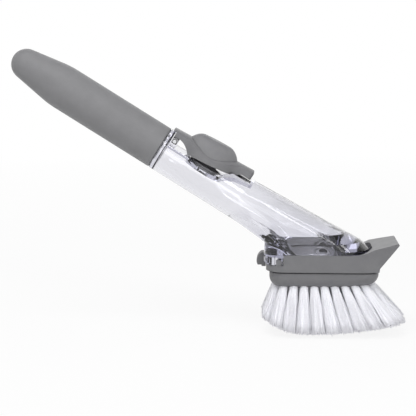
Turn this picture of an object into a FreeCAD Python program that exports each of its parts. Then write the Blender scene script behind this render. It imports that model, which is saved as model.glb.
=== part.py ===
import FreeCAD, Part
import math
import os
import Sketcher

# A dish wand that holds its own soap: a clear slanted chamber, a handle that screws onto its neck,
# a pump button on its back and a clip-on brush head under its foot. Lengths are in millimetres.
#
# The brush head and the foot are drawn upright: +X is the toe, +Z is up, and the origin is the middle
# of the bristle tips. The other pieces are drawn along the wand: their own Z runs up the handle, their
# own X points to the button side, and their zero is the shoulder at the collar. A place along the wand
# is given as its distance below that shoulder (below), and a height over its axis as rise.

SIZES = {
    # the wand as a whole
    "handle_angle": 32.0,
    "axis_length": 123.0,
    "seat_gap": 0.05,
    "free_gap": 0.3,
    "overcut": 5.0,
    # handle
    "grip_radius": 14.4,
    "grip_start": 3.1,
    "grip_length": 112.6,
    "grip_end_radius": 10.2,
    "taper_angle": 9.2,
    "taper_bend": 5.0,
    "grip_lip": 1.2,
    "sleeve_wall": 1.8,
    "socket_room": 0.7,
    "washer_height": 1.8,
    "washer_bore": 8.2,
    # chamber
    "tube_radius": 14.5,
    "chamber_wall": 2.0,
    "tube_length": 58.0,
    "shoulder_drop": 0.3,
    "seal_start": 0.05,
    "seal_groove": 0.7,
    "seal_depth": 0.9,
    "collar_height": 2.8,
    "neck_radius": 10.6,
    "neck_bore": 9.0,
    "neck_length": 14.0,
    # recess for the button
    "recess_start": 0.4,
    "recess_rise": 6.0,
    "recess_flat": 16.0,
    "scoop_radius": 36.0,
    "scoop_middle": 28.4,
    "scoop_run_out": 0.35,
    "front_scoop_radius": 19.0,
    "front_scoop_run": 17.5,
    "cap_channel": 20.8,
    "cap_channel_end": 44.5,
    "toe_channel": 16.4,
    "landing_start": 47.8,
    "landing_climb": 1.7,
    "recess_end": 58.5,
    # pump
    "pump_below": 28.4,
    "pump_seat": 3.6,
    "pump_hole": 4.5,
    "dome_radius": 9.4,
    "dome_height": 5.6,
    "dome_wall": 1.0,
    "dome_flange": 11.2,
    "flange_height": 1.2,
    "ring_height": 1.4,
    # hinge of the button
    "pivot_below": 2.8,
    "pivot_rise": 9.2,
    "pin_radius": 1.0,
    "pin_play": 0.05,
    "ear_radius": 2.4,
    "ear_width": 2.2,
    "leg_width": 8.0,
    "leg_radius": 1.9,
    # button
    "button_tilt": 6.0,
    "button_rise": 8.5,
    "button_middle": 28.0,
    "button_width": 26.0,
    "cap_round": 28.0,
    "crown_radius": 16.0,
    "crown_rise": 16.9,
    "crown_tilt": 3.2,
    "neck_width": 14.0,
    "neck_under": 12.2,
    "neck_flare": 10.0,
    "neck_arch": 14.0,
    "neck_front": 14.0,
    "hook_reach": 1.4,
    "ramp_start": 45.0,
    "toe_width": 13.0,
    "toe_flare": 12.0,
    "toe_reach": 57.6,
    "toe_under": 13.9,
    "toe_under_start": 50.8,
    "nose_round": 2.0,
    "hollow_length": 32.4,
    "hollow_width": 22.4,
    "hollow_height": 4.0,
    "plunger_radius": 3.0,
    "plunger_lap": 0.8,
    # thumb pad: four ovals from under the crown up to its top
    "pad_base_rise": 11.0,
    "pad_base_length": 37.0,
    "pad_base_width": 25.0,
    "pad_waist_rise": 17.6,
    "pad_waist_length": 34.6,
    "pad_waist_width": 21.5,
    "pad_brow_rise": 22.4,
    "pad_brow_length": 26.4,
    "pad_brow_width": 15.5,
    "pad_top_rise": 23.8,
    "pad_top_length": 20.6,
    "pad_top_width": 10.5,
    "pad_end_share": 0.33,
    "pad_lean": 0.11,
    "pad_tilt": 4.0,
    # foot of the chamber
    "foot_seat": 52.5,
    "foot_rim": 2.2,
    "cuff_height": 7.0,
    "cuff_front": 23.8,
    "foot_heel": 38.6,
    "foot_front": 29.4,
    "foot_width": 43.2,
    "foot_heel_round": 11.0,
    "foot_front_round": 19.0,
    "ledge": 1.5,
    "plug_depth": 6.0,
    "plug_inset": 0.7,
    "plug_wall": 1.8,
    "skirt_depth": 6.5,
    "bowl_height": 11.0,
    "bowl_heel": 38.0,
    "bowl_front": 13.5,
    "bowl_width": 31.0,
    "bowl_front_round": 15.0,
    "funnel_heel": 25.0,
    "funnel_front": 13.0,
    "funnel_width": 24.0,
    "funnel_round": 11.0,
    "shelf": 0.8,
    # outlet in the foot
    "plate_height": 2.0,
    "plate_lift": 1.5,
    "outlet_radius": 7.0,
    "outlet_drop": 3.0,
    "outlet_bore": 3.0,
    "valve_radius": 5.0,
    "valve_height": 1.2,
    "valve_lip": 2.6,
    "valve_ring_height": 1.1,
    # brush head
    "shoe_base": 41.5,
    "shoe_heel": 37.5,
    "shoe_width": 44.0,
    "shoe_round": 11.0,
    "shoe_wall": 2.2,
    "shoe_floor": 2.5,
    "side_straight": 16.0,
    "tray_front": 31.0,
    "tray_front_round": 12.0,
    "soap_hole": 3.5,
    "notch_front": 26.2,
    "notch_depth": 6.9,
    "post_length": 3.4,
    "post_width": 1.7,
    "post_height": 3.6,
    "post_setback": 1.4,
    "post_sink": 0.2,
    "slot_roof": 0.5,
    # scraper prow at the toe
    "prow_reach": 47.1,
    "prow_height": 59.6,
    "prow_width": 31.0,
    "prow_inner_height": 56.0,
    "prow_edge": 1.2,
    "prow_foot": 35.4,
    "rim_bend": 18.0,
    # bristles
    "block_bottom": 30.5,
    "block_inset": 1.1,
    "block_heel": 35.3,
    "block_front": 35.2,
    "block_round": 7.0,
    "rocker_start": 4.0,
    "rocker_rise": 3.0,
    "shadow_gap": 1.0,
    "shadow_inset": 1.6,
    "well_radius": 6.0,
    "well_depth": 1.5,
    "drip_hole": 1.3,
    "drip_offset": 4.5,
    "tuft_radius": 2.2,
    "tuft_hole_depth": 8.0,
    "tuft_tip_radius": 3.9,
    "toe_lean": 42.0,
    "toe_trim": 8.0,
    "heel_lean": 18.0,
    "heel_trim": 14.0,
    "side_lean": 24.0,
    "upright_at": -12.0,
    "ring_margin": 5.0,
    "ring_step": 6.6,
    "ring_corner": 7.5,
    "row_step": 7.9,
    "staple_height": 1.2,
    "staple_thickness": 0.4,
    # latch at the heel
    "latch_width": 9.0,
    "leaf_thickness": 1.5,
    "leaf_gap": 0.4,
    "latch_root": 42.2,
    "root_height": 2.0,
    "knob_bottom": 43.2,
    "knob_top": 51.3,
    "knob_reach": 3.0,
    "barb_bottom": 48.4,
    "barb_height": 1.9,
    "barb_reach": 1.0,
    "barb_width": 5.0,
}

OUTER_TUFTS = 26
MIDDLE_TUFTS = 16
CENTRE_TUFTS = 5

doc = FreeCAD.newDocument("dish_wand")
sheet = doc.addObject("Spreadsheet::Sheet", "Sizes")


class Size:
    """A length or an angle that knows both its number and the expression that gives it."""

    def __init__(self, number, text):
        self.number = number
        self.text = text

    def _join(self, sign, other, number):
        return Size(number, f"({self.text} {sign} {as_size(other).text})")

    def __add__(self, other):
        return self._join("+", other, self.number + as_size(other).number)

    def __sub__(self, other):
        return self._join("-", other, self.number - as_size(other).number)

    def __mul__(self, other):
        return self._join("*", other, self.number * as_size(other).number)

    def __truediv__(self, other):
        return self._join("/", other, self.number / as_size(other).number)

    def __radd__(self, other):
        return as_size(other) + self

    def __rsub__(self, other):
        return as_size(other) - self

    def __rmul__(self, other):
        return as_size(other) * self

    def __neg__(self):
        return Size(-self.number, f"(-1 * {self.text})")


def as_size(value):
    return value if isinstance(value, Size) else Size(float(value), repr(float(value)))


def cosine(angle):
    return Size(math.cos(math.radians(angle.number)), f"cos({angle.text})")


def sine(angle):
    return Size(math.sin(math.radians(angle.number)), f"sin({angle.text})")


def root(value):
    return Size(math.sqrt(value.number), f"sqrt({value.text})")


class Sizes:
    """The cells of the sheet, each as a Size."""


size = Sizes()
for row, (alias, number) in enumerate(SIZES.items(), start=1):
    sheet.set(f"A{row}", alias)
    sheet.set(f"B{row}", str(number))
    sheet.setAlias(f"B{row}", alias)
    setattr(size, alias, Size(number, f"Sizes.{alias}"))
doc.recompute()


def bind(thing, path, value):
    """Tie one property of a document object to the sheet."""
    thing.setExpression(path, as_size(value).text)


def new_body(label):
    body = doc.addObject("PartDesign::Body", label)
    body.Label = label
    return body


def along_wand(piece):
    """Lay a piece that is drawn along its own Z onto the slanted axis of the wand."""
    piece.Placement = FreeCAD.Placement(FreeCAD.Vector(), FreeCAD.Rotation(FreeCAD.Vector(0, -1, 0), 1))
    bind(piece, ".Placement.Rotation.Angle", 90 - size.handle_angle)
    bind(piece, ".Placement.Base.x", -size.axis_length * cosine(size.handle_angle))
    bind(piece, ".Placement.Base.z", size.foot_seat + size.axis_length * sine(size.handle_angle))


def sketch_on(body, name, role, offset=(0, 0, 0), turn_axis=None, turn=None):
    """A sketch on one of the body's own planes, moved and turned in that plane's axes."""
    sketch = body.newObject("Sketcher::SketchObject", name)
    plane = next(feature for feature in body.Origin.OriginFeatures if feature.Role == role)
    sketch.AttachmentSupport = (plane, [""])
    sketch.MapMode = "FlatFace"
    if turn_axis is not None:
        sketch.AttachmentOffset = FreeCAD.Placement(FreeCAD.Vector(), FreeCAD.Rotation(turn_axis, 1))
        bind(sketch, ".AttachmentOffset.Rotation.Angle", turn)
    for letter, value in zip("xyz", offset):
        if value != 0:
            bind(sketch, f".AttachmentOffset.Base.{letter}", value)
    return sketch


def level_sketch(body, name, height):
    """A level sketch at a height over the floor, in a body that lies along the wand."""
    lift = height - size.foot_seat
    offset = (lift * cosine(size.handle_angle), 0, lift * sine(size.handle_angle) - size.axis_length)
    return sketch_on(body, name, "XY_Plane", offset, FreeCAD.Vector(0, 1, 0), 90 - size.handle_angle)


def fix_point(sketch, edge, point, x, y):
    """Hold one point of a sketch at x, y."""
    for kind, axis, value in (("DistanceX", -2, x), ("DistanceY", -1, y)):
        value = as_size(value)
        if value.text == "0.0":
            sketch.addConstraint(Sketcher.Constraint("PointOnObject", edge, point, axis))
        else:
            index = sketch.addConstraint(Sketcher.Constraint(kind, -1, 1, edge, point, value.number))
            sketch.setExpression(f"Constraints[{index}]", value.text)


def outline(sketch, corners):
    """A closed outline, drawn anticlockwise. A corner is (x, y), or (x, y, radius) where an arc leads
    to the next corner: a radius over zero bulges out of the outline, one under zero bulges into it."""
    ends = []
    first = sketch.GeometryCount
    for index, corner in enumerate(corners):
        following = corners[(index + 1) % len(corners)]
        start = FreeCAD.Vector(as_size(corner[0]).number, as_size(corner[1]).number, 0)
        stop = FreeCAD.Vector(as_size(following[0]).number, as_size(following[1]).number, 0)
        if len(corner) == 2:
            sketch.addGeometry(Part.LineSegment(start, stop))
            ends.append((1, 2))
            continue
        radius = as_size(corner[2]).number
        chord = stop - start
        height = math.sqrt(max(radius ** 2 - (chord.Length / 2) ** 2, 0))
        left = FreeCAD.Vector(-chord.y, chord.x, 0).normalize()
        centre = (start + stop) / 2 + left * math.copysign(height, radius)
        arc_ends = [math.atan2(p.y - centre.y, p.x - centre.x) for p in (start, stop)]
        circle = Part.Circle(centre, FreeCAD.Vector(0, 0, 1), abs(radius))
        if radius > 0:
            sketch.addGeometry(Part.ArcOfCircle(circle, arc_ends[0], arc_ends[1]))
            ends.append((1, 2))
        else:
            sketch.addGeometry(Part.ArcOfCircle(circle, arc_ends[1], arc_ends[0]))
            ends.append((2, 1))
    for index, corner in enumerate(corners):
        edge = first + index
        following = (index + 1) % len(corners)
        fix_point(sketch, edge, ends[index][0], corner[0], corner[1])
        sketch.addConstraint(
            Sketcher.Constraint("Coincident", edge, ends[index][1], first + following, ends[following][0]))
        if len(corner) == 3:
            radius = as_size(corner[2])
            bow = radius if radius.number > 0 else -radius
            place = sketch.addConstraint(Sketcher.Constraint("Radius", edge, bow.number))
            sketch.setExpression(f"Constraints[{place}]", bow.text)
    return sketch


def circle(sketch, x, y, radius):
    centre = FreeCAD.Vector(as_size(x).number, as_size(y).number, 0)
    edge = sketch.addGeometry(Part.Circle(centre, FreeCAD.Vector(0, 0, 1), as_size(radius).number))
    fix_point(sketch, edge, 3, x, y)
    index = sketch.addConstraint(Sketcher.Constraint("Radius", edge, as_size(radius).number))
    sketch.setExpression(f"Constraints[{index}]", as_size(radius).text)
    return sketch


def rectangle(sketch, left, right, bottom, top):
    return outline(sketch, [(left, bottom), (right, bottom), (right, top), (left, top)])


def pad(body, sketch, length, both_ways=False, down=False):
    feature = body.newObject("PartDesign::Pad", sketch.Name + "_pad")
    feature.Profile = sketch
    feature.SideType = "Symmetric" if both_ways else "One side"
    feature.Reversed = down
    bind(feature, "Length", length)
    return feature


def pocket(body, sketch, length, both_ways=False, up=False):
    """Cut a sketch into the body, and make sure that something was cut."""
    doc.recompute()
    before = body.Shape.Volume
    feature = body.newObject("PartDesign::Pocket", sketch.Name + "_pocket")
    feature.Profile = sketch
    feature.SideType = "Symmetric" if both_ways else "One side"
    feature.Reversed = up
    bind(feature, "Length", length)
    doc.recompute()
    if not body.Shape.Volume < before:
        raise RuntimeError(f"{feature.Name} cuts nothing")
    return feature


def revolve(body, sketch):
    feature = body.newObject("PartDesign::Revolution", sketch.Name + "_turned")
    feature.Profile = sketch
    feature.ReferenceAxis = (sketch, ["V_Axis"])
    feature.Angle = 360
    return feature


def loft(body, sketches):
    feature = body.newObject("PartDesign::AdditiveLoft", sketches[0].Name + "_loft")
    feature.Profile = sketches[0]
    feature.Sections = sketches[1:]
    feature.Ruled = False
    return feature


def turned(label, corners):
    """A turned piece: corners are (radius, height) on one side of its own Z axis."""
    body = new_body(label)
    revolve(body, outline(sketch_on(body, label + "_profile", "XZ_Plane"), corners))
    return body


def rounded_box(heel, front, width, heel_round, front_round):
    """Outline of a plan with straight sides and round corners, from its heel end to its front end."""
    half = width / 2
    return [
        (-heel + heel_round, -half),
        (front - front_round, -half, front_round),
        (front, -half + front_round),
        (front, half - front_round, front_round),
        (front - front_round, half),
        (-heel + heel_round, half, heel_round),
        (-heel, half - heel_round),
        (-heel, -half + heel_round, heel_round),
    ]


def split_circle(radius):
    """A circle in eight arcs, which pair with the eight edges of a rounded box."""
    corners = []
    for step in range(8):
        angle = math.radians(-112.5 + 45 * step)
        corners.append((radius * math.cos(angle), radius * math.sin(angle), radius))
    return corners


def oval(length, width, end_round):
    """An oval of two long side arcs and two end arcs that run into each other smoothly, long down the
    wand. Its sketch has the side-to-side direction as x and the way up the handle as y."""
    half = width / 2
    reach = length / 2 - end_round
    side_round = (reach * reach + half * half - end_round * end_round) / (2 * (half - end_round))
    across = (side_round - half) * end_round / (side_round - end_round)
    along = side_round * reach / (side_round - end_round)
    return [
        (across, -along, side_round),
        (across, along, end_round),
        (-across, along, side_round),
        (-across, -along, end_round),
    ]


neck_end = size.collar_height + size.neck_length
washer_end = neck_end + size.seat_gap + size.washer_height
plug_half = size.shoe_width / 2 - size.shoe_wall - size.plug_inset
plug_heel = size.shoe_heel - size.shoe_wall - size.plug_inset
plug_front = size.foot_front - 2 * size.plug_inset
plug_bottom = size.foot_seat - size.plug_depth
notch_floor = size.foot_seat - size.notch_depth
tray_floor = size.shoe_base + size.shoe_floor
plate_bottom = plug_bottom + size.plate_lift
plate_top = plate_bottom + size.plate_height
post_front = -size.notch_front - size.post_setback


def plug_outline(inset):
    """Plan of the plug under the foot, drawn in by an inset."""
    return rounded_box(
        plug_heel - inset,
        plug_front - inset,
        2 * (plug_half - inset),
        size.shoe_round - size.shoe_wall - inset,
        size.tray_front_round - inset,
    )


def foot_outline(inset):
    """Plan of the foot's rim, drawn in by an inset."""
    return rounded_box(
        size.foot_heel - inset,
        size.foot_front - inset,
        size.foot_width - 2 * inset,
        size.foot_heel_round - inset,
        size.foot_front_round - inset,
    )


def cuff_outline(inset):
    """Plan of the top of the cuff over the rim, drawn in by an inset."""
    return rounded_box(
        size.foot_heel - inset,
        size.cuff_front - inset,
        size.foot_width - 2 * inset,
        size.foot_heel_round - inset,
        size.foot_front_round - inset,
    )


def scoop_floor(below):
    """Rise of the long scoop's floor."""
    run = size.scoop_middle - size.recess_flat
    reach = below - size.scoop_middle
    square = size.scoop_radius * size.scoop_radius
    return size.recess_rise + root(square - run * run) - root(square - reach * reach)


def recess_outline():
    """Side view of the recess right across the tube: a flat, the long scoop down to the pump, and a
    shorter scoop up to the back of the tube."""
    top = 3 * size.tube_radius
    bottom = scoop_floor(size.scoop_middle)
    run = size.front_scoop_run
    radius = size.front_scoop_radius
    front = -size.scoop_middle - run
    return [
        (size.recess_rise, -size.recess_start),
        (size.recess_rise, -size.recess_flat, size.scoop_radius),
        (bottom, -size.scoop_middle, radius),
        (bottom + radius - root(radius * radius - run * run), front),
        (top, front),
        (top, -size.recess_start),
    ]


def channel_outline(inset):
    """Side view of the channel that the button sinks into, grown by an inset: a flat, the long scoop,
    and a landing under the toe."""
    top = 3 * size.tube_radius
    rear = inset - size.recess_start
    landing = scoop_floor(size.landing_start)
    return [
        (size.recess_rise - inset, rear),
        (size.recess_rise - inset, -size.recess_flat, size.scoop_radius + inset),
        (landing - inset, -(size.landing_start + size.scoop_run_out * inset)),
        (landing + size.landing_climb - inset, -(size.recess_end + inset)),
        (top, -(size.recess_end + inset)),
        (top, rear),
    ]


def make_chamber():
    """Clear chamber: the outer form, less the core that leaves its walls."""
    outer = new_body("chamber_outer")
    along_wand(outer)
    profile = outline(sketch_on(outer, "tube_profile", "XZ_Plane"), [
        (0, -size.tube_length),
        (size.tube_radius, -size.tube_length),
        (size.tube_radius, size.seal_start),
        (size.tube_radius - size.seal_depth, size.seal_start),
        (size.tube_radius - size.seal_depth, size.seal_start + size.seal_groove),
        (size.tube_radius, size.seal_start + size.seal_groove),
        (size.tube_radius, size.collar_height),
        (size.neck_radius, size.collar_height),
        (size.neck_radius, neck_end),
        (0, neck_end),
    ])
    revolve(outer, profile)
    tube_end = sketch_on(outer, "tube_end", "XY_Plane", (0, 0, -size.tube_length))
    outline(tube_end, split_circle(size.tube_radius))
    foot_top = level_sketch(outer, "foot_top", size.foot_seat + size.cuff_height)
    outline(foot_top, cuff_outline(0))
    loft(outer, [tube_end, foot_top])
    cuff_top = level_sketch(outer, "cuff_top", size.foot_seat + size.cuff_height)
    outline(cuff_top, cuff_outline(0))
    cuff_low = level_sketch(outer, "cuff_low", size.foot_seat + size.foot_rim)
    outline(cuff_low, foot_outline(0))
    loft(outer, [cuff_top, cuff_low])

    # rim of the foot, drawn down as a skirt that stays only round the heel
    rim = level_sketch(outer, "rim", size.foot_seat + size.foot_rim)
    pad(outer, outline(rim, foot_outline(0)), size.foot_rim + size.skirt_depth, down=True)
    ahead = level_sketch(outer, "ahead_of_skirt", size.foot_seat)
    rectangle(ahead, -size.notch_front - size.leaf_gap, size.foot_front + size.overcut,
              -size.foot_width, size.foot_width)
    pocket(outer, ahead, size.skirt_depth + size.overcut)
    plug = level_sketch(outer, "plug", size.foot_seat + size.ledge)
    pad(outer, outline(plug, plug_outline(0)), size.plug_depth + size.ledge, down=True)

    # slots in the skirt for the two posts of the head
    slot_half = size.foot_width / 2 + size.overcut
    for side in (-1, 1):
        name = "post_slot" + ("_near" if side < 0 else "_far")
        slot = level_sketch(outer, name, plug_bottom - size.overcut)
        near = side * (plug_half - size.post_sink)
        far = side * slot_half
        low, high = (far, near) if side < 0 else (near, far)
        slot_rear = post_front - size.post_length - 2 * size.free_gap
        rectangle(slot, slot_rear, post_front + 2 * size.free_gap, low, high)
        pocket(outer, slot, size.overcut + size.plug_depth - size.slot_roof, up=True)

    # window for the barb of the latch
    window = level_sketch(outer, "barb_window", size.barb_bottom - 2 * size.free_gap)
    half_window = size.barb_width / 2 + size.free_gap
    rectangle(window, -size.foot_heel - size.overcut, -size.foot_heel + size.barb_reach + 2 * size.free_gap,
              -half_window, half_window)
    pocket(outer, window, size.barb_height + 4 * size.free_gap, up=True)

    # button recess, pump seat and pump hole
    recess = sketch_on(outer, "recess", "XZ_Plane")
    pocket(outer, outline(recess, recess_outline()), 4 * size.tube_radius, both_ways=True)
    toe_channel = sketch_on(outer, "toe_channel", "XZ_Plane")
    pocket(outer, outline(toe_channel, channel_outline(0)), size.toe_channel, both_ways=True)
    cap_channel = sketch_on(outer, "cap_channel", "XZ_Plane")
    outline(cap_channel, [
        (scoop_floor(size.scoop_middle), -size.scoop_middle, size.scoop_radius),
        (scoop_floor(size.cap_channel_end), -size.cap_channel_end),
        (2 * size.tube_radius, -size.cap_channel_end),
        (2 * size.tube_radius, -size.scoop_middle),
    ])
    pocket(outer, cap_channel, size.cap_channel, both_ways=True)
    seat = sketch_on(outer, "pump_spot", "YZ_Plane", (0, 0, size.pump_seat))
    circle(seat, 0, -size.pump_below, size.dome_flange + 2 * size.seat_gap)
    pocket(outer, seat, 2 * size.tube_radius, up=True)
    hole = sketch_on(outer, "pump_way", "YZ_Plane", (0, 0, size.pump_seat))
    pocket(outer, circle(hole, 0, -size.pump_below, size.pump_hole), 3 * size.chamber_wall)

    # two ears for the button's pin
    ear_foot = size.recess_rise - 0.5 * size.chamber_wall
    leg_room = size.leg_width + 2 * size.free_gap
    for side in (-1, 1):
        name = "ear" + ("_near" if side < 0 else "_far")
        ear = sketch_on(outer, name, "XZ_Plane", (0, 0, -side * leg_room / 2))
        outline(ear, [
            (ear_foot, -size.pivot_below - size.ear_radius),
            (size.pivot_rise, -size.pivot_below - size.ear_radius, size.ear_radius),
            (size.pivot_rise + size.ear_radius, -size.pivot_below, size.ear_radius),
            (size.pivot_rise, -size.pivot_below + size.ear_radius),
            (size.pivot_rise, size.recess_start),
            (ear_foot, size.recess_start),
        ])
        pad(outer, ear, size.ear_width, down=side > 0)
    pin_way = sketch_on(outer, "pin_way", "XZ_Plane")
    pocket(outer, circle(pin_way, size.pivot_rise, -size.pivot_below, size.pin_radius + size.pin_play / 2),
           2 * leg_room, both_ways=True)

    core = new_body("chamber_core")
    along_wand(core)
    inner = size.tube_radius - size.chamber_wall
    profile = outline(sketch_on(core, "core_profile", "XZ_Plane"), [
        (0, -size.tube_length),
        (inner, -size.tube_length),
        (inner, -size.shoulder_drop),
        (size.neck_bore, -size.shoulder_drop),
        (size.neck_bore, neck_end + size.overcut),
        (0, neck_end + size.overcut),
    ])
    revolve(core, profile)
    core_end = sketch_on(core, "core_end", "XY_Plane", (0, 0, -size.tube_length))
    outline(core_end, split_circle(inner))
    bowl = rounded_box(size.bowl_heel, size.bowl_front, size.bowl_width,
                       size.foot_heel_round, size.bowl_front_round)
    core_foot = level_sketch(core, "core_foot", size.foot_seat + size.bowl_height)
    outline(core_foot, bowl)
    loft(core, [core_end, core_foot])
    core_bowl = level_sketch(core, "core_bowl", size.foot_seat + size.bowl_height)
    outline(core_bowl, bowl)
    funnel = rounded_box(size.funnel_heel, size.funnel_front, size.funnel_width,
                         size.funnel_round, size.funnel_round)
    core_low = level_sketch(core, "core_low", plate_top + size.seat_gap + size.shelf)
    outline(core_low, funnel)
    loft(core, [core_bowl, core_low])
    core_throat = level_sketch(core, "core_throat", plate_top + size.seat_gap + size.shelf)
    pad(core, outline(core_throat, funnel), 2 * size.shelf, down=True)
    core_plug = level_sketch(core, "core_plug", plate_top + size.seat_gap)
    pad(core, outline(core_plug, plug_outline(size.plug_wall)), size.plug_depth + size.overcut, down=True)
    under_recess = sketch_on(core, "under_recess", "XZ_Plane")
    outline(under_recess, channel_outline(size.chamber_wall))
    pocket(core, under_recess, 4 * size.tube_radius, both_ways=True)
    under_pump = sketch_on(core, "under_pump", "YZ_Plane", (0, 0, size.pump_seat - size.chamber_wall))
    pocket(core, circle(under_pump, 0, -size.pump_below, size.dome_flange + size.chamber_wall),
           2 * size.tube_radius, up=True)

    # the pump hole reaches the soap through the floor that the core leaves
    way = sketch_on(core, "pump_way_inside", "YZ_Plane", (0, 0, size.pump_seat - 2 * size.chamber_wall))
    pad(core, circle(way, 0, -size.pump_below, size.pump_hole), 2.5 * size.chamber_wall)

    chamber = doc.addObject("Part::Cut", "chamber_body")
    chamber.Base = outer
    chamber.Tool = core
    chamber.Label = "chamber_body"
    return chamber


def make_outlet():
    """Plate that closes the foot, with the outlet boss, its slit valve and the ring that holds it."""
    plate = new_body("foot_plate")
    flat = sketch_on(plate, "plate_plan", "XY_Plane", (0, 0, plate_bottom))
    pad(plate, outline(flat, plug_outline(size.plug_wall + size.seat_gap)), size.plate_height)
    boss = sketch_on(plate, "outlet_boss", "XY_Plane", (0, 0, plate_bottom))
    pad(plate, circle(boss, 0, 0, size.outlet_radius), size.outlet_drop, down=True)
    bore = sketch_on(plate, "outlet_bore", "XY_Plane", (0, 0, plate_bottom - size.outlet_drop))
    pocket(plate, circle(bore, 0, 0, size.outlet_bore), 2 * (size.outlet_drop + size.plate_height), up=True)
    seat_depth = size.valve_height + size.valve_ring_height + 2 * size.seat_gap
    seat = sketch_on(plate, "valve_seat", "XY_Plane", (0, 0, plate_bottom - size.outlet_drop))
    pocket(plate, circle(seat, 0, 0, size.valve_radius + size.seat_gap), seat_depth, up=True)

    ring_bottom = plate_bottom - size.outlet_drop
    valve_bottom = ring_bottom + size.valve_ring_height + size.seat_gap
    valve_top = valve_bottom + size.valve_height
    valve = turned("slit_valve", [
        (0, valve_bottom - size.valve_ring_height),
        (size.valve_lip / 2, valve_bottom - size.valve_ring_height),
        (size.valve_lip, valve_bottom),
        (size.valve_radius, valve_bottom),
        (size.valve_radius, valve_top),
        (size.valve_lip, valve_top),
        (size.valve_lip / 2, valve_bottom),
        (0, valve_bottom),
    ])
    ring = turned("valve_ring", [
        (size.valve_lip + size.free_gap, ring_bottom),
        (size.valve_radius, ring_bottom),
        (size.valve_radius, valve_bottom - size.seat_gap),
        (size.valve_lip + size.free_gap, valve_bottom - size.seat_gap),
    ])
    return [plate, valve, ring]


def on_pump(piece):
    """Turn a piece that is drawn upright so that it stands on the pump seat."""
    angle = size.handle_angle
    lift = size.pump_seat + size.seat_gap
    piece.Placement = FreeCAD.Placement(FreeCAD.Vector(), FreeCAD.Rotation(FreeCAD.Vector(0, 1, 0), 1))
    bind(piece, ".Placement.Rotation.Angle", angle)
    along = size.axis_length - size.pump_below
    bind(piece, ".Placement.Base.x", lift * sine(angle) - along * cosine(angle))
    bind(piece, ".Placement.Base.z", size.foot_seat + lift * cosine(angle) + along * sine(angle))


def cap_arc(half_width, height):
    """Radius of the arc that rises by a height from the ends of a chord to its middle."""
    return (half_width * half_width + height * height) / (2 * height)


def make_pump():
    """Rubber dome on the recess floor, and the ring that clamps its flange."""
    inside = size.dome_radius - size.dome_wall
    straight = size.dome_height / 3
    crown = size.dome_height - straight
    dome = turned("pump_dome", [
        (inside, 0),
        (size.dome_flange, 0),
        (size.dome_flange, size.flange_height),
        (size.dome_radius, size.flange_height),
        (size.dome_radius, straight, cap_arc(size.dome_radius, crown)),
        (0, size.dome_height),
        (0, size.dome_height - size.dome_wall, -cap_arc(inside, crown - size.dome_wall)),
        (inside, straight),
    ])
    on_pump(dome)
    ring_bottom = size.flange_height + size.seat_gap
    ring = turned("dome_ring", [
        (size.dome_radius + size.free_gap, ring_bottom),
        (size.dome_flange, ring_bottom),
        (size.dome_flange, ring_bottom + size.ring_height),
        (size.dome_radius + size.free_gap, ring_bottom + size.ring_height),
    ])
    on_pump(ring)
    return [dome, ring]


def make_seal():
    """Dark rubber ring in the groove at the shoulder, under the handle's collar."""
    inner = size.tube_radius - size.seal_depth + size.seat_gap
    low = size.seal_start + size.seat_gap
    high = size.seal_start + size.seal_groove - size.seat_gap
    seal = turned("shoulder_seal", [
        (inner, low),
        (size.tube_radius - size.seat_gap, low),
        (size.tube_radius - size.seat_gap, high),
        (inner, high),
    ])
    along_wand(seal)
    return seal


def make_pin():
    """Steel hinge pin of the button."""
    pin = new_body("pivot_pin")
    along_wand(pin)
    cross = sketch_on(pin, "pin_section", "XZ_Plane")
    length = size.leg_width + 2 * size.free_gap + 2 * size.ear_width
    pad(pin, circle(cross, size.pivot_rise, -size.pivot_below, size.pin_radius), length, both_ways=True)
    return pin


def tilted(body, name, rise, below, tilt):
    """A sketch across the wand at a rise over its axis, tipped up towards the brush."""
    return sketch_on(body, name, "YZ_Plane", (0, -below, rise), FreeCAD.Vector(-1, 0, 0), tilt)


def skirt_rise(below):
    """Rise of the button's lower edge, which climbs towards the brush."""
    return size.button_rise + sine(size.button_tilt) / cosine(size.button_tilt) * (below - size.button_middle)


def flare(narrow, hollow):
    """How a straight side flows through a hollow arc into the cap's round side: the run from the cap's
    middle to the straight side, then the half-width and the run where the two arcs meet."""
    both = hollow + size.cap_round
    step = size.button_width / 2 - narrow
    run = root(2 * both * step - step * step)
    return run, size.button_width / 2 - size.cap_round * step / both, size.cap_round * run / both


def button_plan():
    """The button from above: a straight neck, the round cap and a straight toe, in one smooth line."""
    middle = size.button_middle
    neck_half = size.neck_width / 2
    toe_half = size.toe_width / 2
    neck_run, neck_meet, neck_meet_run = flare(neck_half, size.neck_flare)
    toe_run, toe_meet, toe_meet_run = flare(toe_half, size.toe_flare)
    return [
        (size.nose_round - toe_half, -size.toe_reach),
        (toe_half - size.nose_round, -size.toe_reach, size.nose_round),
        (toe_half, size.nose_round - size.toe_reach),
        (toe_half, -middle - toe_run, -size.toe_flare),
        (toe_meet, -middle - toe_meet_run, size.cap_round),
        (neck_meet, neck_meet_run - middle, -size.neck_flare),
        (neck_half, neck_run - middle),
        (neck_half, size.hook_reach),
        (-neck_half, size.hook_reach),
        (-neck_half, neck_run - middle, -size.neck_flare),
        (-neck_meet, neck_meet_run - middle, size.cap_round),
        (-toe_meet, -middle - toe_meet_run, -size.toe_flare),
        (-toe_half, -middle - toe_run),
        (-toe_half, size.nose_round - size.toe_reach, size.nose_round),
    ]


def crown_arc(radius):
    """The button's crown, seen along it from behind the button, as an arc about the middle of the
    crown: the rise of the arc's two ends, and their half-width."""
    behind = size.hook_reach + size.overcut
    top = size.crown_rise * cosine(size.crown_tilt) - behind * sine(size.crown_tilt)
    half = (size.crown_radius + size.button_width / 2) / 2
    return top - size.crown_radius + root(radius * radius - half * half), half


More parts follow.
